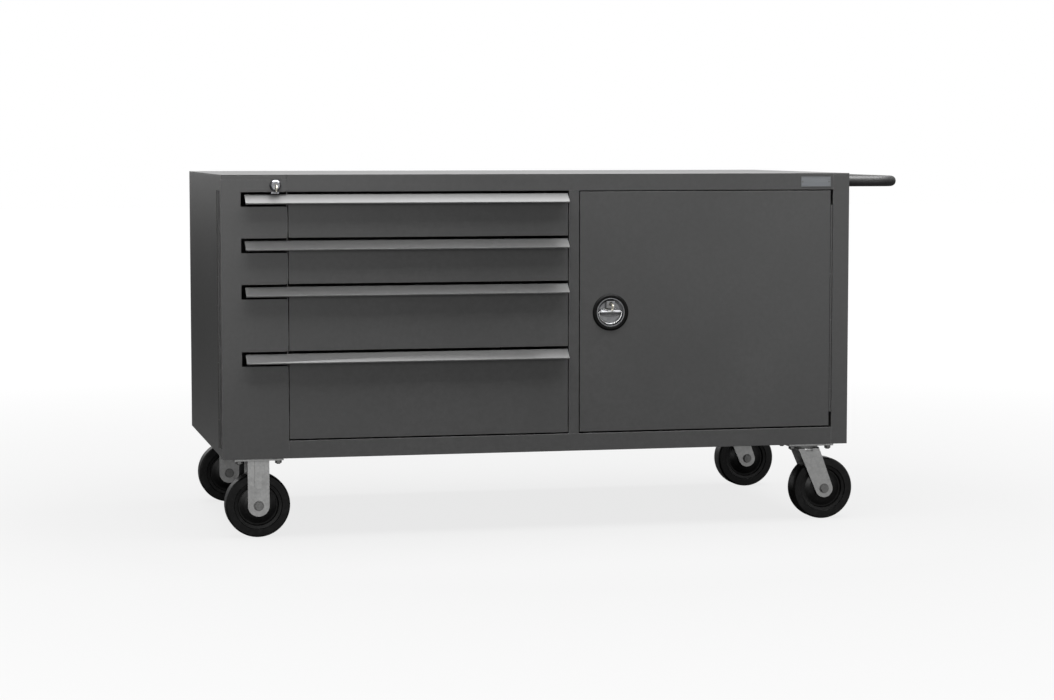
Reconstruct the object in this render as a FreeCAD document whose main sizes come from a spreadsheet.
import FreeCAD, Part
import os
import re
import Sketcher
from FreeCAD import Placement, Rotation, Vector

# Mobile steel workbench: a cabinet on casters with four drawers behind a hinged locking
# flap, a cupboard with a latched door, and a push handle at its right end.
# Millimetres. +Z up, +X to the right end, -Y to the front. The origin is on the floor,
# under the middle of the overall box.

SIZES = [
    # overall cabinet
    ("body_width", 1524), ("body_depth", 762), ("body_height", 660.4), ("caster_height", 190.5),
    ("sheet", 1.9), ("top_sheet", 2.7), ("box_sheet", 1.2), ("rim_fold", 20),
    # front frame
    ("top_rail", 40), ("lower_rail_height", 41.3), ("stile_width", 152.4), ("right_stile", 41),
    ("divider_at", 823), ("divider_flange", 25), ("rail_fold", 18),
    # drawers, counted from the top
    ("top_gap", 6), ("drawer_gap", 7), ("low_gap", 4), ("side_gap", 2.2), ("front_small", 100),
    ("front_medium", 149), ("box_depth", 690), ("box_lift", 8), ("box_drop", 16),
    ("front_fold", 10),
    # formed pull along the top of each drawer
    ("pull_out", 25), ("pull_drop", 19), ("pull_lip", 3), ("pull_hem", 7), ("pull_start", 53),
    ("pull_slope", 1.3), ("pull_end", 1),
    # telescopic slides
    ("slide_room", 12.7), ("slide_height", 45), ("slide_length", 650), ("slide_set", 15),
    ("slide_rise", 34), ("slide_gauge", 1.2), ("slide_clear", 0.6),
    ("slide_outer_deep", 9), ("slide_mid_deep", 10.5), ("slide_inner_set", 4),
    # locking flap
    ("flap_clear", 0.8), ("flap_leg", 31), ("flap_top", 12), ("flap_low", 1), ("slot_start", 44),
    ("slot_over", 6), ("slot_under", 28), ("slot_round", 8), ("flap_lock_x", 124.4),
    ("flap_lock_drop", 25), ("stile_relief", 1),
    # both hinges
    ("flap_barrel", 4), ("door_barrel", 3), ("hinge_pin", 1.5), ("pin_clear", 0.05),
    ("leaf", 1.2), ("leaf_width", 17), ("knuckle_gap", 0.4), ("knuckle_root", 1), ("hinge_clear", 0.5),
    ("flap_hinge_inset", 24), ("door_hinge_inset", 34), ("knuckles", 9),
    # door
    ("door_gap", 6.7), ("door_edge", 2.3), ("door_over", 2.5), ("door_under", 4),
    ("door_deep", 20), ("door_pivot", 2),
    # round latch
    ("latch_inset", 75), ("latch_drop", 330), ("bezel_radius", 44), ("dish_radius", 34),
    ("bezel_proud", 4), ("bezel_clear", 0.5), ("bezel_edge", 1),
    ("bezel_crest", 2), ("bezel_outer", 4), ("dish_floor_in", 8), ("dish_foot_in", 7),
    ("bar_waist", 0.7), ("lock_head_share", 0.7), ("dish_deep", 12), ("dish_wall", 2),
    ("bar_radius", 5), ("bar_half", 24), ("ring_radius", 30), ("ring_wire", 1.8),
    ("ring_clear", 0.05), ("lock_up", 20), ("lock_half", 10), ("cam_gauge", 3), ("cam_wide", 18),
    ("cam_reach", 88), ("cam_set", 2), ("plug_radius", 5), ("plug_clear", 0.05),
    # flap lock and both keys
    ("lock_body_radius", 13.5), ("lock_body_proud", 7), ("lock_barrel_radius", 9),
    ("dome_flat", 4), ("dome_edge", 1), ("dome_rise", 2), ("barrel_short", 0.5),
    ("flap_cam_reach", 19), ("window_room", 4), ("key_gauge", 2), ("key_blade", 5), ("key_shank", 6),
    ("key_bow", 9), ("key_sag", 8), ("key_hole", 3),
    # cupboard shelf
    ("shelf_rise", 300), ("shelf_back_set", 3), ("shelf_front_set", 60), ("angle_leg", 22),
    # nameplate, left blank
    ("plate_width", 75), ("plate_height", 24), ("plate_gauge", 0.8), ("plate_drop", 20.5),
    ("plate_inset", 48),
    # push handle
    ("tube_radius", 13), ("tube_wall", 2), ("handle_reach", 163), ("handle_span", 610),
    ("handle_drop", 21), ("handle_bend", 50), ("pad_radius", 19), ("pad_gauge", 5), ("pad_ear", 30),
    ("pad_bolt", 3),
    # casters
    ("caster_inset", 85), ("wheel_inset", 70), ("wheel_radius", 76.2), ("wheel_width", 50.8),
    ("hub_width", 57), ("hub_clear", 1), ("axle_radius", 6.35), ("axle_clear", 0.05),
    ("plate_long", 114.3), ("plate_deep", 101.6), ("plate_thick", 6.4), ("bolt_long", 92.1),
    ("bolt_deep", 76.2), ("bolt_radius", 4.75), ("bolt_clear", 0.3), ("nut_radius", 8.2),
    ("nut_thick", 7), ("leg_thick", 5), ("leg_width", 50.8), ("rib_radius", 9), ("rib_proud", 2),
    ("rib_drop", 60), ("caster_lead", 40), ("race_radius", 32), ("race_thick", 8),
    ("race_gap", 0.5), ("crown_radius", 36), ("crown_thick", 6), ("kingpin_radius", 8),
    ("kingpin_nut", 12), ("kingpin_nut_thick", 7), ("swivel_leg_end", 22), ("swivel_leg_half", 27),
    ("leg_front_x", 0.97), ("leg_front_z", 0.24), ("leg_back_x", 0.92), ("leg_back_z", 0.4),
    ("axle_tail", 3), ("axle_head", 1.6), ("plate_tail", 2), ("bolt_head", 0.7),
    # wheel section: shares of the wheel's radius, then steps in from the tread's face
    ("boss_top", 0.26), ("boss_foot", 0.3), ("web_inner", 0.43), ("web_middle", 0.57),
    ("web_outer", 0.61), ("rim_foot", 0.64), ("rim_ring", 0.73), ("rim_edge", 0.75),
    ("boss_step", 3), ("web_step", 5), ("web_deep", 9), ("rim_step", 2.5),
    ("tread_ease", 4), ("tread_drop", 0.6), ("tread_shoulder", 5), ("tread_flat", 12),
]

doc = FreeCAD.newDocument("MobileWorkbench")
sheet = doc.addObject("Spreadsheet::Sheet", "Sizes")
for row, (alias, value) in enumerate(SIZES, start=1):
    sheet.set("A%d" % row, alias)
    sheet.set("B%d" % row, str(value))
    sheet.setAlias("B%d" % row, alias)
doc.recompute()

ALIASES = {alias for alias, value in SIZES}
nodes = []

# Places worked out from the sizes, as expressions.
HINGE_OUT = "(hinge_clear + 2 * flap_barrel)"
FLAP_FACE = "(flap_clear + sheet)"
KEY_LENGTH = "(key_shank + 2 * key_bow)"
FRONT_OUT = "(%s + lock_body_proud + %s)" % (FLAP_FACE, KEY_LENGTH)
LEFT = "((%s - body_width - handle_reach) / 2)" % HINGE_OUT
RIGHT = "(%s + body_width)" % LEFT
FRONT = "((%s - body_depth) / 2)" % FRONT_OUT
BACK = "(%s + body_depth)" % FRONT
FLOOR = "caster_height"
TOP = "(caster_height + body_height)"
UNDER_TOP = "(%s - top_sheet)" % TOP
RAIL_UNDER = "(%s - top_rail)" % TOP
RAIL_TOP = "(%s + lower_rail_height)" % FLOOR
STILE = "(%s + stile_width)" % LEFT
DIVIDER = "(%s + divider_at)" % LEFT
DOOR_JAMB = "(%s - right_stile)" % RIGHT
DOOR_LEFT = "(%s + divider_flange + door_edge)" % DIVIDER
DOOR_RIGHT = "(%s - door_gap)" % DOOR_JAMB
DOOR_LOW = "(%s + door_under)" % RAIL_TOP
DOOR_HIGH = "(%s - door_over)" % RAIL_UNDER
LATCH_X = "(%s + latch_inset)" % DOOR_LEFT
LATCH_Z = "(%s - latch_drop)" % TOP
INSIDE_LEFT = "(%s + sheet)" % LEFT
INSIDE_RIGHT = "(%s - sheet)" % RIGHT
INSIDE_FRONT = "(%s + sheet)" % FRONT
INSIDE_BACK = "(%s - 2 * sheet)" % BACK
FLOOR_TOP = "(%s + sheet)" % FLOOR
AXLE = "wheel_radius"
TIRE_Y = {"front": "(%s + wheel_inset)" % FRONT, "rear": "(%s - wheel_inset)" % BACK}


def bound(text):
    """Point the size names in an expression at their cells."""
    return re.sub(r"[a-z_]+", lambda word: ("Sizes." if word.group() in ALIASES else "") + word.group(), text)


def number(text):
    return float(sheet.evalExpression(bound(text)))


def bind(thing, **sizes):
    for name, text in sizes.items():
        thing.setExpression(name, bound(text))


def place(thing, x, y, z, turn=None):
    """Bind an object's place, after an optional fixed turn."""
    thing.Placement = Placement(Vector(), turn or Rotation())
    for axis, text in zip("xyz", (x, y, z)):
        thing.setExpression(".Placement.Base." + axis, bound(text))


def box(x, y, z):
    """A block between two faces along each axis."""
    block = doc.addObject("Part::Box", "Block")
    bind(block, Length="%s - %s" % (x[1], x[0]), Width="%s - %s" % (y[1], y[0]),
         Height="%s - %s" % (z[1], z[0]))
    place(block, x[0], y[0], z[0])
    return block


def along(axis):
    """The turn that lays a shape's own Z along an axis."""
    ways = {"x": Vector(1, 0, 0), "y": Vector(0, 1, 0), "z": Vector(0, 0, 1), "-y": Vector(0, -1, 0)}
    return Rotation(Vector(0, 0, 1), ways[axis])


def rod(axis, radius, length, x, y, z):
    """A round bar from one end along an axis."""
    bar = doc.addObject("Part::Cylinder", "Rod")
    bind(bar, Radius=radius, Height=length)
    place(bar, x, y, z, along(axis))
    return bar


def hexagon(axis, radius, length, x, y, z):
    nut = doc.addObject("Part::Prism", "Hexagon")
    nut.Polygon = 6
    bind(nut, Circumradius=radius, Height=length)
    place(nut, x, y, z, along(axis))
    return nut


def bend(radius, x, y, z, turn):
    """A quarter of a ring, as a tube's bend, lying level."""
    ring = doc.addObject("Part::Torus", "Bend")
    ring.Angle3 = 90
    bind(ring, Radius1="handle_bend", Radius2=radius)
    place(ring, x, y, z, Rotation(Vector(0, 0, 1), turn))
    return ring


def fuse(*pieces):
    whole = doc.addObject("Part::MultiFuse", "Joined")
    whole.Shapes = list(pieces)
    whole.Refine = True
    return whole


def group(pieces):
    """Separate pieces of one kind."""
    several = doc.addObject("Part::Compound", "Several")
    several.Links = list(pieces)
    return several


def cut(base, *tools):
    less = doc.addObject("Part::Cut", "Opened")
    less.Base = base
    less.Tool = tools[0] if len(tools) == 1 else group(tools)
    less.Refine = True
    return less


def node(label, thing):
    thing.Label = label
    nodes.append(thing)
    return thing


def channel(x, y, z, wall, openside):
    """A folded channel: a block hollowed from one side."""
    faces = {"x": list(x), "y": list(y), "z": list(z)}
    inner = {axis: ["%s + %s" % (pair[0], wall), "%s - %s" % (pair[1], wall)] for axis, pair in faces.items()}
    for way in openside.split():
        axis, end = way[1], 0 if way[0] == "-" else 1
        inner[axis][end] = "%s %s %s" % (faces[axis][end], "+" if end else "-", wall)
    return cut(box(*faces.values()), box(*(["(%s)" % a, "(%s)" % b] for a, b in inner.values())))


def new_body(name):
    return doc.addObject("PartDesign::Body", name)


def sketch_on(body, role, lift="0"):
    """An empty sketch on one of the body's own planes, lifted along its normal."""
    sketch = body.newObject("Sketcher::SketchObject", "Outline")
    support = next(item for item in body.Origin.OriginFeatures if item.Role == role)
    sketch.AttachmentSupport = [(support, "")]
    sketch.MapMode = "FlatFace"
    sketch.setExpression(".AttachmentOffset.Base.z", bound(lift))
    return sketch


def hold(sketch, kind, geometry, point, text):
    """Tie one point of a sketch, or a radius, to a size."""
    if kind == "Radius":
        index = sketch.addConstraint(Sketcher.Constraint(kind, geometry, number(text)))
    else:
        index = sketch.addConstraint(Sketcher.Constraint(kind, -1, 1, geometry, point, number(text)))
    sketch.setExpression("Constraints[%d]" % index, bound(text))


def polygon(sketch, corners):
    """A closed outline whose every corner is tied to sizes."""
    spots = [Vector(number(a), number(b), 0) for a, b in corners]
    first = sketch.GeometryCount
    for start, end in zip(spots, spots[1:] + spots[:1]):
        sketch.addGeometry(Part.LineSegment(start, end))
    for index, (a, b) in enumerate(corners):
        following = first + (index + 1) % len(corners)
        sketch.addConstraint(Sketcher.Constraint("Coincident", first + index, 2, following, 1))
        hold(sketch, "DistanceX", first + index, 1, a)
        hold(sketch, "DistanceY", first + index, 1, b)
    return sketch


def circle(sketch, a, b, radius):
    index = sketch.addGeometry(Part.Circle(Vector(number(a), number(b), 0), Vector(0, 0, 1), number(radius)))
    hold(sketch, "DistanceX", index, 3, a)
    hold(sketch, "DistanceY", index, 3, b)
    hold(sketch, "Radius", index, 0, radius)
    return sketch


def pad(body, sketch, length, back=False):
    solid = body.newObject("PartDesign::Pad", "Pad")
    solid.Profile = sketch
    solid.Reversed = back
    bind(solid, Length=length)
    return solid


def turned(body, sketch, axis="V_Axis"):
    solid = body.newObject("PartDesign::Revolution", "Turned")
    solid.Profile = sketch
    solid.ReferenceAxis = (sketch, [axis])
    solid.Angle = 360
    return solid


# ---- drawer heights, from the top rail down ----
FRONT_HEIGHTS = ["front_small", "front_small", "front_medium"]
DRAWER_TOPS, DRAWER_LOWS = ["(%s - top_gap)" % RAIL_UNDER], []
for height in FRONT_HEIGHTS:
    DRAWER_LOWS.append("(%s - %s)" % (DRAWER_TOPS[-1], height))
    DRAWER_TOPS.append("(%s - drawer_gap)" % DRAWER_LOWS[-1])
DRAWER_LOWS.append("(%s + low_gap)" % RAIL_TOP)
DRAWERS = range(1, 5)
BOX_LEFT = "(%s + slide_room)" % STILE
BOX_RIGHT = "(%s - slide_room)" % DIVIDER
FRONT_LEFT = "(%s + side_gap)" % STILE
FRONT_RIGHT = "(%s - side_gap)" % DIVIDER


def in_sheet(face, away="+"):
    """From a face to one sheet thickness behind it."""
    return (face, "(%s %s sheet)" % (face, away)) if away == "+" else ("(%s - sheet)" % face, face)


# ---- cabinet shell ----
def caster_spots():
    """The four casters: name, X of the top plate's middle, Y of the wheel."""
    for end, x in (("left", "(%s + caster_inset)" % LEFT), ("right", "(%s - caster_inset)" % RIGHT)):
        for side, y in TIRE_Y.items():
            yield side, end, x, y


def plate_bolt_spots(x, y):
    for a in ("-", "+"):
        for b in ("-", "+"):
            yield "(%s %s bolt_long / 2)" % (x, a), "(%s %s bolt_deep / 2)" % (y, b)


def handle_ends():
    middle = "((%s + %s) / 2)" % (FRONT, BACK)
    return ["(%s - handle_span / 2)" % middle, "(%s + handle_span / 2)" % middle]


HANDLE_Z = "(%s - handle_drop)" % TOP


def handle_bolt_spots():
    for y in handle_ends():
        for way in ("-", "+"):
            yield "(%s %s pad_ear)" % (y, way), HANDLE_Z


top_plate = box((LEFT, RIGHT), (FRONT, BACK), (UNDER_TOP, TOP))
top_flange = box((STILE, DOOR_JAMB), in_sheet(FRONT), (RAIL_UNDER, UNDER_TOP))
top_return = box((STILE, DOOR_JAMB), (FRONT, "(%s + rail_fold)" % FRONT), in_sheet(RAIL_UNDER))
node("worktop", fuse(top_plate, top_flange, top_return))

LOCK_X = "(%s + flap_lock_x)" % LEFT
LOCK_Z = "(%s - flap_lock_drop)" % TOP
side_z = (FLOOR, UNDER_TOP)
side = box(in_sheet(LEFT), (FRONT, BACK), side_z)
stile = box((LEFT, "(%s - sheet)" % STILE), in_sheet(FRONT), side_z)
rear_fold = box((LEFT, "(%s + rim_fold)" % LEFT), in_sheet(BACK, "-"), side_z)
windows = []
for drawer in DRAWERS:
    high = DRAWER_TOPS[drawer - 1]
    windows.append(box(("(%s + slot_start - stile_relief)" % LEFT, STILE), in_sheet(FRONT),
                       ("(%s - slot_under - stile_relief)" % high, "(%s + slot_over + stile_relief)" % high)))
lock_window = box(("(%s - lock_body_radius)" % LOCK_X, "(%s + lock_body_radius)" % LOCK_X), in_sheet(FRONT),
                  ("(%s - flap_cam_reach - window_room)" % LOCK_Z, "(%s + lock_body_radius)" % LOCK_Z))
node("left_side_panel", cut(fuse(side, stile, rear_fold), lock_window, *windows))

side = box(in_sheet(RIGHT, "-"), (FRONT, BACK), side_z)
stile = box((DOOR_JAMB, RIGHT), in_sheet(FRONT), side_z)
jamb_y = (FRONT, "(%s + door_pivot + leaf_width + sheet)" % FRONT)
jamb = box(in_sheet(DOOR_JAMB), jamb_y, (FLOOR_TOP, UNDER_TOP))
rear_fold = box(("(%s - rim_fold)" % RIGHT, RIGHT), in_sheet(BACK, "-"), side_z)
bolt_holes = [rod("x", "pad_bolt + bolt_clear", "3 * sheet", "(%s - 2 * sheet)" % RIGHT, y, z)
              for y, z in handle_bolt_spots()]
node("right_side_panel", cut(fuse(side, stile, jamb, rear_fold), *bolt_holes))

node("back_panel", box((INSIDE_LEFT, INSIDE_RIGHT), (INSIDE_BACK, "(%s - sheet)" % BACK), side_z))

floor = box((INSIDE_LEFT, INSIDE_RIGHT), (INSIDE_FRONT, INSIDE_BACK), in_sheet(FLOOR))
bolt_holes = [rod("z", "bolt_radius + bolt_clear", "3 * sheet", bx, by, "(%s - sheet)" % FLOOR)
              for side_name, end, x, y in caster_spots() for bx, by in plate_bolt_spots(x, y)]
node("bottom_panel", cut(floor, *bolt_holes))

wall_z = (FLOOR_TOP, UNDER_TOP)
node("drawer_bay_panel", box(in_sheet(STILE, "-"), (INSIDE_FRONT, INSIDE_BACK), wall_z))

divider_wall = box(in_sheet(DIVIDER), (INSIDE_FRONT, INSIDE_BACK), (RAIL_TOP, RAIL_UNDER))
divider_low = box(in_sheet(DIVIDER), ("(%s + rail_fold)" % FRONT, INSIDE_BACK), (FLOOR_TOP, RAIL_TOP))
divider_high = box(in_sheet(DIVIDER), ("(%s + rail_fold)" % FRONT, INSIDE_BACK), (RAIL_UNDER, UNDER_TOP))
divider_face = box((DIVIDER, "(%s + divider_flange)" % DIVIDER), in_sheet(FRONT), (RAIL_TOP, RAIL_UNDER))
divider_edge = "(%s + divider_flange)" % DIVIDER
divider_lip = box(in_sheet(divider_edge, "-"), (FRONT, "(%s + door_deep)" % FRONT), (RAIL_TOP, RAIL_UNDER))
node("centre_divider", fuse(divider_wall, divider_low, divider_high, divider_face, divider_lip))

rail_face = box((STILE, DOOR_JAMB), in_sheet(FRONT), (FLOOR, RAIL_TOP))
rail_return = box((STILE, DOOR_JAMB), (FRONT, "(%s + rail_fold)" % FRONT), in_sheet(RAIL_TOP, "-"))
node("lower_rail", fuse(rail_face, rail_return))

# ---- cupboard shelf on two angles ----
SHELF_Z = "(%s + shelf_rise)" % FLOOR
shelf_y = ("(%s + shelf_front_set)" % FRONT, "(%s - shelf_back_set)" % INSIDE_BACK)
cupboard_left = "(%s + sheet)" % DIVIDER
node("cupboard_shelf", channel((cupboard_left, INSIDE_RIGHT), shelf_y,
                               ("(%s - rim_fold)" % SHELF_Z, SHELF_Z), "sheet", "-z"))
angles = []
for wall, inward in ((cupboard_left, "+"), (INSIDE_RIGHT, "-")):
    under = "(%s - rim_fold)" % SHELF_Z
    reach = "(%s %s angle_leg)" % (wall, inward)
    across = (wall, reach) if inward == "+" else (reach, wall)
    angles.append(fuse(box(across, shelf_y, in_sheet(under, "-")),
                       box(in_sheet(wall, inward), shelf_y, ("(%s - angle_leg)" % under, under))))
node("shelf_angles", group(angles))

# ---- blank nameplate ----
plate_x = ("(%s - plate_inset - plate_width)" % RIGHT, "(%s - plate_inset)" % RIGHT)
plate_z = ("(%s - plate_drop - plate_height / 2)" % TOP, "(%s - plate_drop + plate_height / 2)" % TOP)
node("nameplate", box(plate_x, ("(%s - plate_gauge)" % FRONT, FRONT), plate_z))


# ---- push handle ----
def handle_run(radius):
    """The bent tube's path filled at one radius: two legs, two bends and the grip."""
    front_leg, rear_leg = handle_ends()
    grip_x = "(%s + handle_reach - tube_radius)" % RIGHT
    bend_x = "(%s - handle_bend)" % grip_x
    return fuse(
        rod("x", radius, "%s - %s" % (bend_x, RIGHT), RIGHT, front_leg, HANDLE_Z),
        bend(radius, bend_x, "(%s + handle_bend)" % front_leg, HANDLE_Z, -90),
        rod("y", radius, "handle_span - 2 * handle_bend", grip_x, "(%s + handle_bend)" % front_leg, HANDLE_Z),
        bend(radius, bend_x, "(%s - handle_bend)" % rear_leg, HANDLE_Z, 0),
        rod("x", radius, "%s - %s" % (bend_x, RIGHT), RIGHT, rear_leg, HANDLE_Z))


pads = []
for y in handle_ends():
    plate = fuse(box((RIGHT, "(%s + pad_gauge)" % RIGHT), ("(%s - pad_ear)" % y, "(%s + pad_ear)" % y),
                     ("(%s - pad_radius / 2)" % HANDLE_Z, "(%s + pad_radius / 2)" % HANDLE_Z)),
                 rod("x", "pad_radius", "pad_gauge", RIGHT, y, HANDLE_Z),
                 *[rod("x", "pad_radius / 2", "pad_gauge", RIGHT, "(%s %s pad_ear)" % (y, way), HANDLE_Z)
                   for way in ("-", "+")])
    pads.append(plate)
holes = [rod("x", "pad_bolt + bolt_clear", "3 * pad_gauge", "(%s - pad_gauge)" % RIGHT, by, bz)
         for by, bz in handle_bolt_spots()]
node("push_handle", cut(fuse(handle_run("tube_radius"), *pads),
                        handle_run("tube_radius - tube_wall"), *holes))
bolts = []
for y, z in handle_bolt_spots():
    bolts.append(fuse(
        rod("x", "pad_bolt", "pad_gauge + 3 * sheet", "(%s - 3 * sheet)" % RIGHT, y, z),
        hexagon("x", "2 * pad_bolt", "pad_bolt", "(%s + pad_gauge)" % RIGHT, y, z),
        hexagon("x", "2 * pad_bolt", "pad_bolt", "(%s - sheet - pad_bolt)" % RIGHT, y, z)))
node("handle_bolts", group(bolts))


# ---- piano hinges: leaves with alternating knuckles round one pin ----
def knuckle_pair(pivot_x, pivot_y, low, high, barrel, leaves):
    """Leaves and pin of a hinge. leaves: (leaf's X faces, its far Y edge, near Y way)."""
    step = "((%s - %s) / knuckles)" % (high, low)
    made = []
    for turn, (x_faces, way) in enumerate(leaves):
        flat_y = ("(%s + %s + hinge_clear)" % (pivot_y, barrel), "(%s + leaf_width)" % pivot_y)
        tab_y = (pivot_y, "(%s + %s + knuckle_root)" % (pivot_y, barrel))
        if way == "-":
            flat_y = ("(%s - leaf_width)" % pivot_y, "(%s - %s - hinge_clear)" % (pivot_y, barrel))
            tab_y = ("(%s - %s - knuckle_root)" % (pivot_y, barrel), pivot_y)
        pieces = [box(x_faces, flat_y, (low, high))]
        bores = []
        for index in range(turn, int(number("knuckles")), 2):
            base = "(%s + %d * %s + knuckle_gap / 2)" % (low, index, step)
            end = "(%s + %d * %s - knuckle_gap / 2)" % (low, index + 1, step)
            pieces.append(rod("z", barrel, "%s - %s" % (end, base), pivot_x, pivot_y, base))
            pieces.append(box(x_faces, tab_y, (base, end)))
        bores.append(rod("z", "hinge_pin + %s" % ("0" if turn == 0 else "pin_clear"), "%s - %s" % (high, low),
                         pivot_x, pivot_y, low))
        made.append(cut(fuse(*pieces), *bores))
    pin = rod("z", "hinge_pin", "%s - %s" % (high, low), pivot_x, pivot_y, low)
    return made[0], made[1], pin


FLAP_PIVOT_X = "(%s - hinge_clear - flap_barrel)" % LEFT
FLAP_PIVOT_Y = "(%s + flap_leg)" % FRONT
flap_low, flap_high = "(%s + flap_low)" % FLOOR, "(%s - flap_top)" % TOP
side_leaf, flap_leaf, flap_pin = knuckle_pair(
    FLAP_PIVOT_X, FLAP_PIVOT_Y, "(%s + flap_hinge_inset)" % flap_low, "(%s - flap_hinge_inset)" % flap_high,
    "flap_barrel",
    ((("(%s - leaf)" % LEFT, LEFT), "+"),
     (("(%s - %s - leaf)" % (LEFT, FLAP_FACE), "(%s - %s)" % (LEFT, FLAP_FACE)), "-")))
node("flap_hinge_side_leaf", side_leaf)
node("flap_hinge_leaf", flap_leaf)

DOOR_PIVOT_X = "(%s - door_gap / 2)" % DOOR_JAMB
DOOR_PIVOT_Y = "(%s + door_pivot)" % FRONT
frame_leaf, door_leaf, door_pin = knuckle_pair(
    DOOR_PIVOT_X, DOOR_PIVOT_Y, "(%s + door_hinge_inset)" % DOOR_LOW, "(%s - door_hinge_inset)" % DOOR_HIGH,
    "door_barrel",
    ((("(%s - leaf)" % DOOR_JAMB, DOOR_JAMB), "+"),
     ((DOOR_RIGHT, "(%s + leaf)" % DOOR_RIGHT), "+")))
node("door_hinge_frame_leaf", frame_leaf)
node("door_hinge_leaf", door_leaf)
node("hinge_pins", group([flap_pin, door_pin]))


# ---- locking flap: a folded strip with a slot for each pull ----
def slot_body(name, high):
    """The space one slot takes out of the flap, with rounded tab corners left at its mouth."""
    low_edge, high_edge = "(%s - slot_under)" % high, "(%s + slot_over)" % high
    mouth = "(%s - slot_round)" % STILE
    body = new_body(name)
    sketch = sketch_on(body, "XZ_Plane", "(0 - %s)" % FRONT)
    start = "(%s + slot_start)" % LEFT
    polygon(sketch, [(start, low_edge), (STILE, low_edge), (STILE, high_edge), (start, high_edge)])
    pad(body, sketch, "2 * %s" % FLAP_FACE)
    corners = []
    for edge, way in ((low_edge, "-"), (high_edge, "+")):
        if way == "+" and high is DRAWER_TOPS[0]:
            centre = "(%s + slot_round)" % edge
            square = box((mouth, STILE), ("(%s - 2 * %s)" % (FRONT, FLAP_FACE), FRONT), (edge, centre))
        else:
            centre = "(%s %s slot_round)" % (edge, way)
            span = (centre, edge) if way == "-" else (edge, centre)
            square = box((mouth, STILE), ("(%s - 2 * %s)" % (FRONT, FLAP_FACE), FRONT), span)
        round_tab = rod("-y", "slot_round", "2 * %s" % FLAP_FACE, mouth, FRONT, centre)
        corners.append(cut(square, round_tab))
    return [body] + corners


flap_y = ("(%s - %s)" % (FRONT, FLAP_FACE), "(%s - flap_clear)" % FRONT)
flap_outer = "(%s - %s)" % (LEFT, FLAP_FACE)
face = box((flap_outer, STILE), flap_y, (flap_low, flap_high))
leg = box((flap_outer, "(%s - flap_clear)" % LEFT),
          (flap_y[0], "(%s - flap_barrel - hinge_clear)" % FLAP_PIVOT_Y), (flap_low, flap_high))
slots = [piece for drawer in DRAWERS for piece in slot_body("Slot%d" % drawer, DRAWER_TOPS[drawer - 1])]
barrel_hole = rod("-y", "lock_barrel_radius", "2 * %s" % FLAP_FACE, LOCK_X, FRONT, LOCK_Z)
node("lock_flap", cut(fuse(face, leg), barrel_hole, *slots))

FLAP_OUT = "(%s - %s)" % (FRONT, FLAP_FACE)
FLAP_LOCK_FACE = "(%s - lock_body_proud)" % FLAP_OUT
CAM_FACE = "(%s + sheet + flap_clear)" % FRONT
body = new_body("FlapLockBody")
profile = sketch_on(body, "XY_Plane")
# half section: radius across, depth up, from the domed face back to the barrel's end
polygon(profile, [
    ("plug_radius + plug_clear", "0"), ("lock_body_radius - dome_flat", "0"),
    ("lock_body_radius - dome_edge", "dome_rise"),
    ("lock_body_radius", "lock_body_proud - dome_edge"), ("lock_body_radius", "lock_body_proud"),
    ("lock_barrel_radius", "lock_body_proud"),
    ("lock_barrel_radius", "lock_body_proud + %s + flap_clear + sheet - barrel_short" % FLAP_FACE),
    ("plug_radius + plug_clear", "lock_body_proud + %s + flap_clear + sheet - barrel_short" % FLAP_FACE)])
turned(body, profile)
place(body, LOCK_X, FLAP_LOCK_FACE, LOCK_Z)
node("flap_lock_body", body)

keyway = box(("(%s - key_gauge / 2)" % LOCK_X, "(%s + key_gauge / 2)" % LOCK_X),
             (FLAP_LOCK_FACE, "(%s + lock_body_proud)" % FLAP_LOCK_FACE),
             ("(%s - key_blade / 2)" % LOCK_Z, "(%s + key_blade / 2)" % LOCK_Z))
plug = rod("y", "plug_radius", "%s + cam_gauge - %s" % (CAM_FACE, FLAP_LOCK_FACE),
           LOCK_X, FLAP_LOCK_FACE, LOCK_Z)
cam = box(("(%s - cam_wide / 2)" % LOCK_X, "(%s + cam_wide / 2)" % LOCK_X),
          (CAM_FACE, "(%s + cam_gauge)" % CAM_FACE),
          ("(%s - flap_cam_reach)" % LOCK_Z, "(%s + cam_wide / 2)" % LOCK_Z))
node("flap_lock_plug", cut(fuse(plug, cam), keyway))


def key(name, x, face_y, z):
    """A key standing in its lock: blade in the keyway, flat round bow hanging a little low."""
    body = new_body(name)
    sketch = sketch_on(body, "YZ_Plane", "(0 - key_gauge / 2)")
    polygon(sketch, [("lock_body_proud", "0 - key_blade / 2"), ("lock_body_proud", "key_blade / 2"),
                     ("0 - key_shank - key_bow / 2", "key_blade / 2"),
                     ("0 - key_shank - key_bow / 2", "0 - key_blade / 2")])
    pad(body, sketch, "key_gauge")
    bow = sketch_on(body, "YZ_Plane", "(0 - key_gauge / 2)")
    circle(bow, "0 - key_shank - key_bow", "0 - key_sag", "key_bow")
    circle(bow, "0 - key_shank - key_bow", "0 - key_sag - key_bow / 3", "key_hole")
    pad(body, bow, "key_gauge")
    place(body, x, face_y, z)
    return node(name, body)


key("flap_key", LOCK_X, FLAP_LOCK_FACE, LOCK_Z)

# ---- door: a pan with a round opening for the latch ----
pan = channel((DOOR_LEFT, DOOR_RIGHT), (FRONT, "(%s + door_deep)" % FRONT), (DOOR_LOW, DOOR_HIGH),
              "sheet", "+y")
latch_hole = rod("y", "dish_radius + 2 * bezel_clear", "2 * sheet",
                 LATCH_X, "(%s - sheet / 2)" % FRONT, LATCH_Z)
node("door_panel", cut(pan, latch_hole))

body = new_body("LatchBezel")
profile = sketch_on(body, "XY_Plane")
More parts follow.
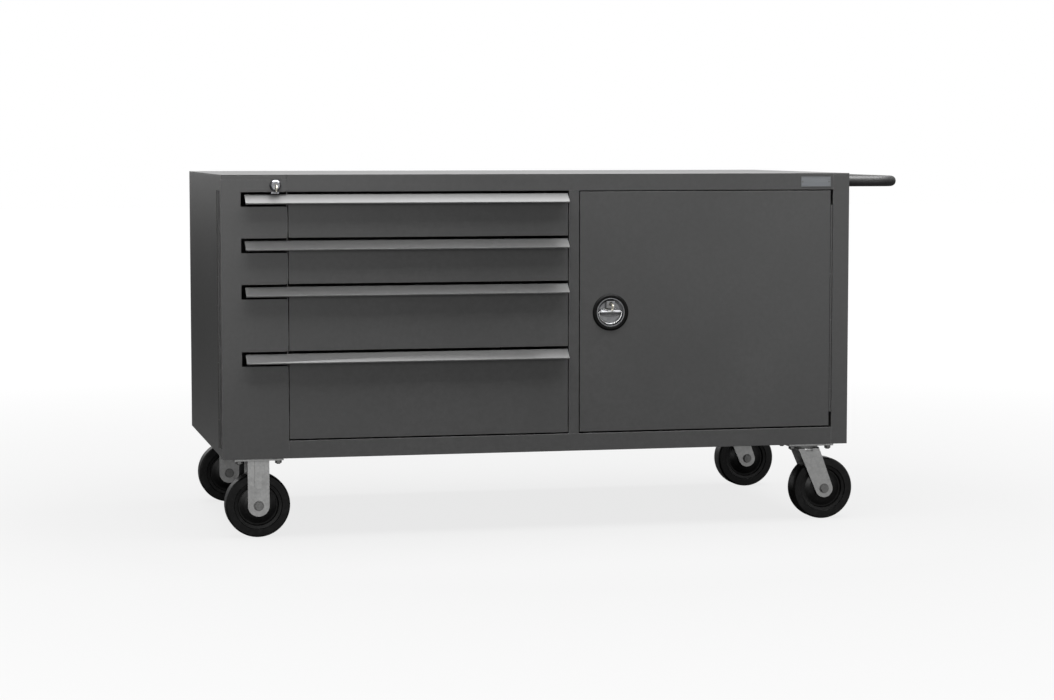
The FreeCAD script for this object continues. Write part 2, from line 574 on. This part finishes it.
# half section of the raised ring, lying on the door
polygon(profile, [
    ("dish_radius + bezel_clear", "0 - bezel_proud + bezel_edge"),
    ("dish_radius + bezel_crest", "0 - bezel_proud"),
    ("bezel_radius - bezel_outer", "0 - bezel_proud"), ("bezel_radius", "0 - bezel_edge"),
    ("bezel_radius", "0"), ("dish_radius + bezel_clear", "0")])
turned(body, profile)
place(body, LATCH_X, FRONT, LATCH_Z)
node("latch_bezel", body)

# The dish, its cross bar and the lock housing are one casting, which turns in the bezel.
DISH_FACE = "(%s - bezel_proud + bezel_edge)" % FRONT
body = new_body("LatchBowl")
profile = sketch_on(body, "XY_Plane")
polygon(profile, [
    ("0", "dish_deep"), ("0", "dish_deep - dish_wall"),
    ("dish_radius - dish_floor_in", "dish_deep - dish_wall"), ("dish_radius - dish_wall", "dish_deep / 2"),
    ("dish_radius - dish_wall", "0"), ("dish_radius", "0"), ("dish_radius", "dish_deep / 2"),
    ("dish_radius - dish_foot_in", "dish_deep")])
turned(body, profile)
place(body, LATCH_X, DISH_FACE, LATCH_Z)
BAR_Y = "(%s + bar_radius)" % DISH_FACE
bar = rod("x", "bar_radius", "2 * bar_half", "(%s - bar_half)" % LATCH_X, BAR_Y, LATCH_Z)
web = box(("(%s - bar_half)" % LATCH_X, "(%s + bar_half)" % LATCH_X),
          (BAR_Y, "(%s + dish_deep - dish_wall / 2)" % DISH_FACE),
          ("(%s - bar_radius * bar_waist)" % LATCH_Z, "(%s + bar_radius * bar_waist)" % LATCH_Z))
DOOR_LOCK_Z = "(%s + lock_up)" % LATCH_Z
housing = box(("(%s - lock_half)" % LATCH_X, "(%s + lock_half)" % LATCH_X),
              (DISH_FACE, "(%s + dish_deep - dish_wall / 2)" % DISH_FACE),
              ("(%s - lock_half)" % DOOR_LOCK_Z, "(%s + lock_half * lock_head_share)" % DOOR_LOCK_Z))
neck = box(("(%s - lock_half / 2)" % LATCH_X, "(%s + lock_half / 2)" % LATCH_X),
           (BAR_Y, "(%s + dish_deep - dish_wall / 2)" % DISH_FACE),
           (LATCH_Z, "(%s + 2 * bar_radius)" % LATCH_Z))
ring_bore = rod("x", "ring_wire + ring_clear", "4 * bar_half",
                "(%s - 2 * bar_half)" % LATCH_X, BAR_Y, LATCH_Z)
plug_bore = rod("y", "plug_radius + plug_clear", "dish_deep - dish_wall", LATCH_X, DISH_FACE, DOOR_LOCK_Z)
node("latch_dish", cut(fuse(body, bar, web, housing, neck), ring_bore, plug_bore))

CAM_Y = "(%s + door_deep + cam_set)" % FRONT
spindle = rod("y", "kingpin_radius", "%s + cam_gauge - %s - dish_deep" % (CAM_Y, DISH_FACE),
              LATCH_X, "(%s + dish_deep)" % DISH_FACE, LATCH_Z)
cam = box(("(%s - cam_wide / 2)" % LATCH_X, "(%s + cam_wide / 2)" % LATCH_X),
          (CAM_Y, "(%s + cam_gauge)" % CAM_Y),
          ("(%s - cam_reach)" % LATCH_Z, "(%s + cam_wide / 2)" % LATCH_Z))
node("latch_cam", fuse(spindle, cam))

keyway = box(("(%s - key_gauge / 2)" % LATCH_X, "(%s + key_gauge / 2)" % LATCH_X),
             (DISH_FACE, "(%s + lock_body_proud)" % DISH_FACE),
             ("(%s - key_blade / 2)" % DOOR_LOCK_Z, "(%s + key_blade / 2)" % DOOR_LOCK_Z))
plug = rod("y", "plug_radius", "dish_deep - dish_wall - plug_clear", LATCH_X, DISH_FACE, DOOR_LOCK_Z)
node("door_lock_plug", cut(plug, keyway))
key("door_key", LATCH_X, DISH_FACE, DOOR_LOCK_Z)

# The D-ring: a straight wire through the cross bar and a half round below it.
half = doc.addObject("Part::Torus", "Half")
half.Angle3 = 180
bind(half, Radius1="ring_radius - ring_wire", Radius2="ring_wire")
place(half, LATCH_X, BAR_Y, LATCH_Z, Rotation(Vector(1, 0, 0), -90))
wire = rod("x", "ring_wire", "2 * (ring_radius - ring_wire)", "(%s - ring_radius + ring_wire)" % LATCH_X,
           BAR_Y, LATCH_Z)
tips = []
for way in ("-", "+"):
    tip = doc.addObject("Part::Sphere", "Tip")
    bind(tip, Radius="ring_wire")
    place(tip, "(%s %s (ring_radius - ring_wire))" % (LATCH_X, way), BAR_Y, LATCH_Z)
    tips.append(tip)
node("latch_ring", fuse(half, wire, *tips))


# ---- drawers and their three-part slides ----
def slide_channel(wall, way, near, far, half_height, centre, length_y, web_at):
    """One slide member: a channel on its side, its web near the wall or near the drawer."""
    def across(a, b):
        low, high = ("(%s + %s)" % (wall, a), "(%s + %s)" % (wall, b))
        if way == "-":
            low, high = ("(%s - %s)" % (wall, b), "(%s - %s)" % (wall, a))
        return low, high
    web = (near, "%s + slide_gauge" % near) if web_at == "near" else ("%s - slide_gauge" % far, far)
    top = "(%s + %s)" % (centre, half_height)
    low = "(%s - %s)" % (centre, half_height)
    return fuse(box(across(*["(%s)" % part for part in web]), length_y, (low, top)),
                box(across(near, far), length_y, ("(%s - slide_gauge)" % top, top)),
                box(across(near, far), length_y, (low, "(%s + slide_gauge)" % low)))


MEMBERS = {
    # kind: near face and far face from the wall, half height, which side the web is on
    "outer": ("0", "slide_outer_deep", "(slide_height / 2)", "near"),
    "mid": ("(slide_gauge + slide_clear)", "slide_mid_deep",
            "(slide_height / 2 - slide_gauge - slide_clear)", "near"),
    "inner": ("slide_inner_set", "slide_room",
              "(slide_height / 2 - 2 * slide_gauge - 2 * slide_clear)", "far"),
}


def welded_box(x, y, z):
    """An open box of flat sheets welded edge to edge: bottom, two sides, front and back."""
    wall_z = ("(%s + box_sheet)" % z[0], z[1])
    inner_x = ("(%s + box_sheet)" % x[0], "(%s - box_sheet)" % x[1])
    return [box(x, y, (z[0], wall_z[0])),
            box((x[0], inner_x[0]), y, wall_z),
            box((inner_x[1], x[1]), y, wall_z),
            box(inner_x, (y[0], "(%s + box_sheet)" % y[0]), wall_z),
            box(inner_x, ("(%s - box_sheet)" % y[1], y[1]), wall_z)]


def slide_pair(kind, centre):
    near, far, half_height, web_at = MEMBERS[kind]
    length_y = ("(%s + slide_set)" % FRONT, "(%s + slide_set + slide_length)" % FRONT)
    return [slide_channel(wall, way, near, far, half_height, centre, length_y, web_at)
            for wall, way in ((STILE, "+"), (DIVIDER, "-"))]


outers = []
for drawer in DRAWERS:
    high, low = DRAWER_TOPS[drawer - 1], DRAWER_LOWS[drawer - 1]
    centre = "(%s + slide_rise)" % low
    outers += slide_pair("outer", centre)
    node("drawer_%d_slide_mid" % drawer, group(slide_pair("mid", centre)))
    node("drawer_%d_slide_inner" % drawer, group(slide_pair("inner", centre)))
    node("drawer_%d_box" % drawer, group(welded_box(
        (BOX_LEFT, BOX_RIGHT), (INSIDE_FRONT, "(%s + box_depth)" % INSIDE_FRONT),
        ("(%s + box_lift)" % low, "(%s - box_drop)" % high))))
    ends_y = ("(%s + sheet)" % FRONT, "(%s + front_fold)" % FRONT)
    front = [box((FRONT_LEFT, FRONT_RIGHT), in_sheet(FRONT), (low, high)),
             box(in_sheet(FRONT_LEFT), ends_y, (low, high)),
             box(in_sheet(FRONT_RIGHT, "-"), ends_y, (low, high))]
    body = new_body("Pull%d" % drawer)
    section = sketch_on(body, "YZ_Plane", "(%s + pull_start)" % LEFT)
    lip_y = "(%s - pull_out)" % FRONT
    lip_z = "(%s - pull_drop)" % high
    polygon(section, [
        (FRONT, high), (lip_y, lip_z), (lip_y, "(%s - pull_lip)" % lip_z),
        ("(%s + pull_hem)" % lip_y, "(%s - pull_lip)" % lip_z),
        ("(%s + pull_hem)" % lip_y, "(%s - pull_lip + sheet)" % lip_z),
        ("(%s + sheet)" % lip_y, "(%s - pull_lip + sheet)" % lip_z),
        (FRONT, "(%s - pull_slope * sheet)" % high)])
    pad(body, section, "%s - %s - pull_start - pull_end" % (FRONT_RIGHT, LEFT))
    # the pull is longer than its front, so it is a formed strip welded along the front's top
    node("drawer_%d_front" % drawer, group(front + [body]))
node("slide_outer_members", group(outers))


# ---- casters ----
def axle_bolt(x, y, grip):
    """A bolt through the fork, head to the front and nut behind."""
    half = "(%s / 2)" % grip
    return fuse(rod("y", "axle_radius", "%s + 2 * nut_thick + axle_tail" % grip,
                    x, "(%s - %s - nut_thick)" % (y, half), AXLE),
                hexagon("y", "axle_head * axle_radius", "nut_thick",
                        x, "(%s - %s - nut_thick)" % (y, half), AXLE),
                hexagon("y", "axle_head * axle_radius", "nut_thick", x, "(%s + %s)" % (y, half), AXLE))


FORK_INSIDE = "(hub_width / 2 + hub_clear)"
GRIP = "(2 * %s + 2 * leg_thick)" % FORK_INSIDE
PLATE_UNDER = "(%s - plate_thick)" % FLOOR


def top_plate_block(x, y):
    return box(("(%s - plate_long / 2)" % x, "(%s + plate_long / 2)" % x),
               ("(%s - plate_deep / 2)" % y, "(%s + plate_deep / 2)" % y), (PLATE_UNDER, FLOOR))


def plate_holes(x, y):
    return [rod("z", "bolt_radius + bolt_clear", "3 * plate_thick",
                bx, by, "(%s - plate_thick)" % PLATE_UNDER)
            for bx, by in plate_bolt_spots(x, y)]


def leg_faces(y):
    """The two legs of a fork: inner and outer face, and the outer way."""
    yield ("(%s - %s - leg_thick)" % (y, FORK_INSIDE), "(%s - %s)" % (y, FORK_INSIDE)), "-"
    yield ("(%s + %s)" % (y, FORK_INSIDE), "(%s + %s + leg_thick)" % (y, FORK_INSIDE)), "+"


def axle_hole(x, y):
    return rod("y", "axle_radius + axle_clear", "2 * %s" % GRIP, x, "(%s - %s)" % (y, GRIP), AXLE)


def rigid_fork(x, y):
    pieces = [top_plate_block(x, y)]
    for faces, way in leg_faces(y):
        pieces.append(box(("(%s - leg_width / 2)" % x, "(%s + leg_width / 2)" % x), faces,
                          (AXLE, PLATE_UNDER)))
        pieces.append(rod("y", "leg_width / 2", "leg_thick", x, faces[0], AXLE))
        outer = (faces[1], "(%s + rib_proud)" % faces[1])
        if way == "-":
            outer = ("(%s - rib_proud)" % faces[0], faces[0])
        rib_low = "(%s - rib_drop)" % PLATE_UNDER
        pieces.append(box(("(%s - rib_radius)" % x, "(%s + rib_radius)" % x), outer, (rib_low, PLATE_UNDER)))
        pieces.append(rod("y", "rib_radius", "rib_proud", x, outer[0], rib_low))
    return cut(fuse(*pieces), axle_hole(x, y), *plate_holes(x, y))


CROWN_TOP = "(%s - race_thick - race_gap)" % PLATE_UNDER


def swivel_plate(x, y):
    """The fixed half of a swivel caster: plate, upper race and kingpin with its nut."""
    pin_low = "(%s - crown_thick - race_gap - kingpin_nut_thick)" % CROWN_TOP
    return cut(fuse(top_plate_block(x, y),
                    rod("z", "race_radius", "race_thick", x, y, "(%s - race_thick)" % PLATE_UNDER),
                    rod("z", "kingpin_radius", "%s - %s" % (PLATE_UNDER, pin_low), x, y, pin_low),
                    hexagon("z", "kingpin_nut", "kingpin_nut_thick", x, y, pin_low)), *plate_holes(x, y))


def swivel_fork(name, x, y):
    axle_x = "(%s + caster_lead)" % x
    pieces = [rod("z", "crown_radius", "crown_thick", x, y, "(%s - crown_thick)" % CROWN_TOP)]
    for faces, way in leg_faces(y):
        body = new_body(name)
        sketch = sketch_on(body, "XZ_Plane", "(0 - %s)" % faces[1])
        polygon(sketch, [
            ("(%s - swivel_leg_half)" % x, CROWN_TOP), ("(%s + swivel_leg_half)" % x, CROWN_TOP),
            ("(%s + swivel_leg_end * leg_front_x)" % axle_x, "%s + swivel_leg_end * leg_front_z" % AXLE),
            ("(%s - swivel_leg_end * leg_back_x)" % axle_x, "%s - swivel_leg_end * leg_back_z" % AXLE)])
        pad(body, sketch, "leg_thick")
        pieces += [body, rod("y", "swivel_leg_end", "leg_thick", axle_x, faces[0], AXLE)]
    pieces.append(box(("(%s - swivel_leg_half)" % x, "(%s + swivel_leg_half)" % x),
                      ("(%s - %s)" % (y, FORK_INSIDE), "(%s + %s)" % (y, FORK_INSIDE)),
                      ("(%s - crown_thick)" % CROWN_TOP, CROWN_TOP)))
    bore = rod("z", "kingpin_radius + pin_clear", "3 * crown_thick",
               x, y, "(%s - 2 * crown_thick)" % CROWN_TOP)
    return cut(fuse(*pieces), bore, axle_hole(axle_x, y))


def wheel(label, x, y):
    """Moulded wheel: flat tread with eased edges, a ringed side and a raised hub, turned about its bore."""
    body = new_body(label)
    section = sketch_on(body, "XY_Plane")
    # one side from the bore out to the tread: share of the wheel radius, step in from the tread's face
    side = [("axle_radius + axle_clear", "hub_width / 2"),
            ("wheel_radius * boss_top", "hub_width / 2"),
            ("wheel_radius * boss_foot", "wheel_width / 2 - boss_step"),
            ("wheel_radius * web_inner", "wheel_width / 2 - web_step"),
            ("wheel_radius * web_middle", "wheel_width / 2 - web_deep"),
            ("wheel_radius * web_outer", "wheel_width / 2 - web_deep"),
            ("wheel_radius * rim_foot", "wheel_width / 2 - boss_step"),
            ("wheel_radius * rim_ring", "wheel_width / 2 - rim_step"),
            ("wheel_radius * rim_edge", "wheel_width / 2"),
            ("wheel_radius - tread_ease", "wheel_width / 2"),
            ("wheel_radius - tread_drop", "wheel_width / 2 - tread_shoulder"),
            ("wheel_radius", "wheel_width / 2 - tread_flat")]
    polygon(section, side + [(a, "0 - (%s)" % b) for a, b in reversed(side)])
    turned(body, section)
    place(body, x, y, AXLE)
    return node(label, body)


fasteners, nuts, top_plates, axles = [], [], [], []
for side_name, end, x, y in caster_spots():
    for bx, by in plate_bolt_spots(x, y):
        fasteners.append(fuse(
            rod("z", "bolt_radius", "plate_thick + sheet + nut_thick + plate_tail",
                bx, by, "(%s - nut_thick - plate_tail)" % PLATE_UNDER),
            hexagon("z", "nut_radius", "nut_thick * bolt_head", bx, by, FLOOR_TOP)))
        nuts.append(cut(hexagon("z", "nut_radius", "nut_thick", bx, by, "(%s - nut_thick)" % PLATE_UNDER),
                        rod("z", "bolt_radius", "2 * nut_thick",
                            bx, by, "(%s - 1.5 * nut_thick)" % PLATE_UNDER)))
    if end == "left":
        node("%s_rigid_fork" % side_name, rigid_fork(x, y))
        axles.append(axle_bolt(x, y, GRIP))
        wheel("%s_left_wheel" % side_name, x, y)
    else:
        top_plates.append(swivel_plate(x, y))
        node("%s_swivel_fork" % side_name, swivel_fork("SwivelLeg", x, y))
        axle_x = "(%s + caster_lead)" % x
        node("%s_swivel_axle" % side_name, axle_bolt(axle_x, y, GRIP))
        wheel("%s_right_wheel" % side_name, axle_x, y)
node("caster_bolts", group(fasteners))
node("caster_nuts", group(nuts))
node("swivel_top_plates", group(top_plates))
node("rigid_axle_bolts", group(axles))

# ---- build, check and write ----
doc.recompute()
faults = [item.Label for item in doc.Objects if {"Invalid", "Error"} & set(item.State)]
faults += [item.Label for item in nodes if item.Shape.isNull() or not item.Shape.isValid()]
if faults:
    raise RuntimeError("these did not build: " + ", ".join(faults))
os.makedirs("parts", exist_ok=True)
for item in nodes:
    item.Shape.exportStep("parts/%s.step" % item.Label)
    print("%-24s %2d solids %10.0f mm3" % (item.Label, len(item.Shape.Solids), item.Shape.Volume))
print(len(nodes), "nodes")
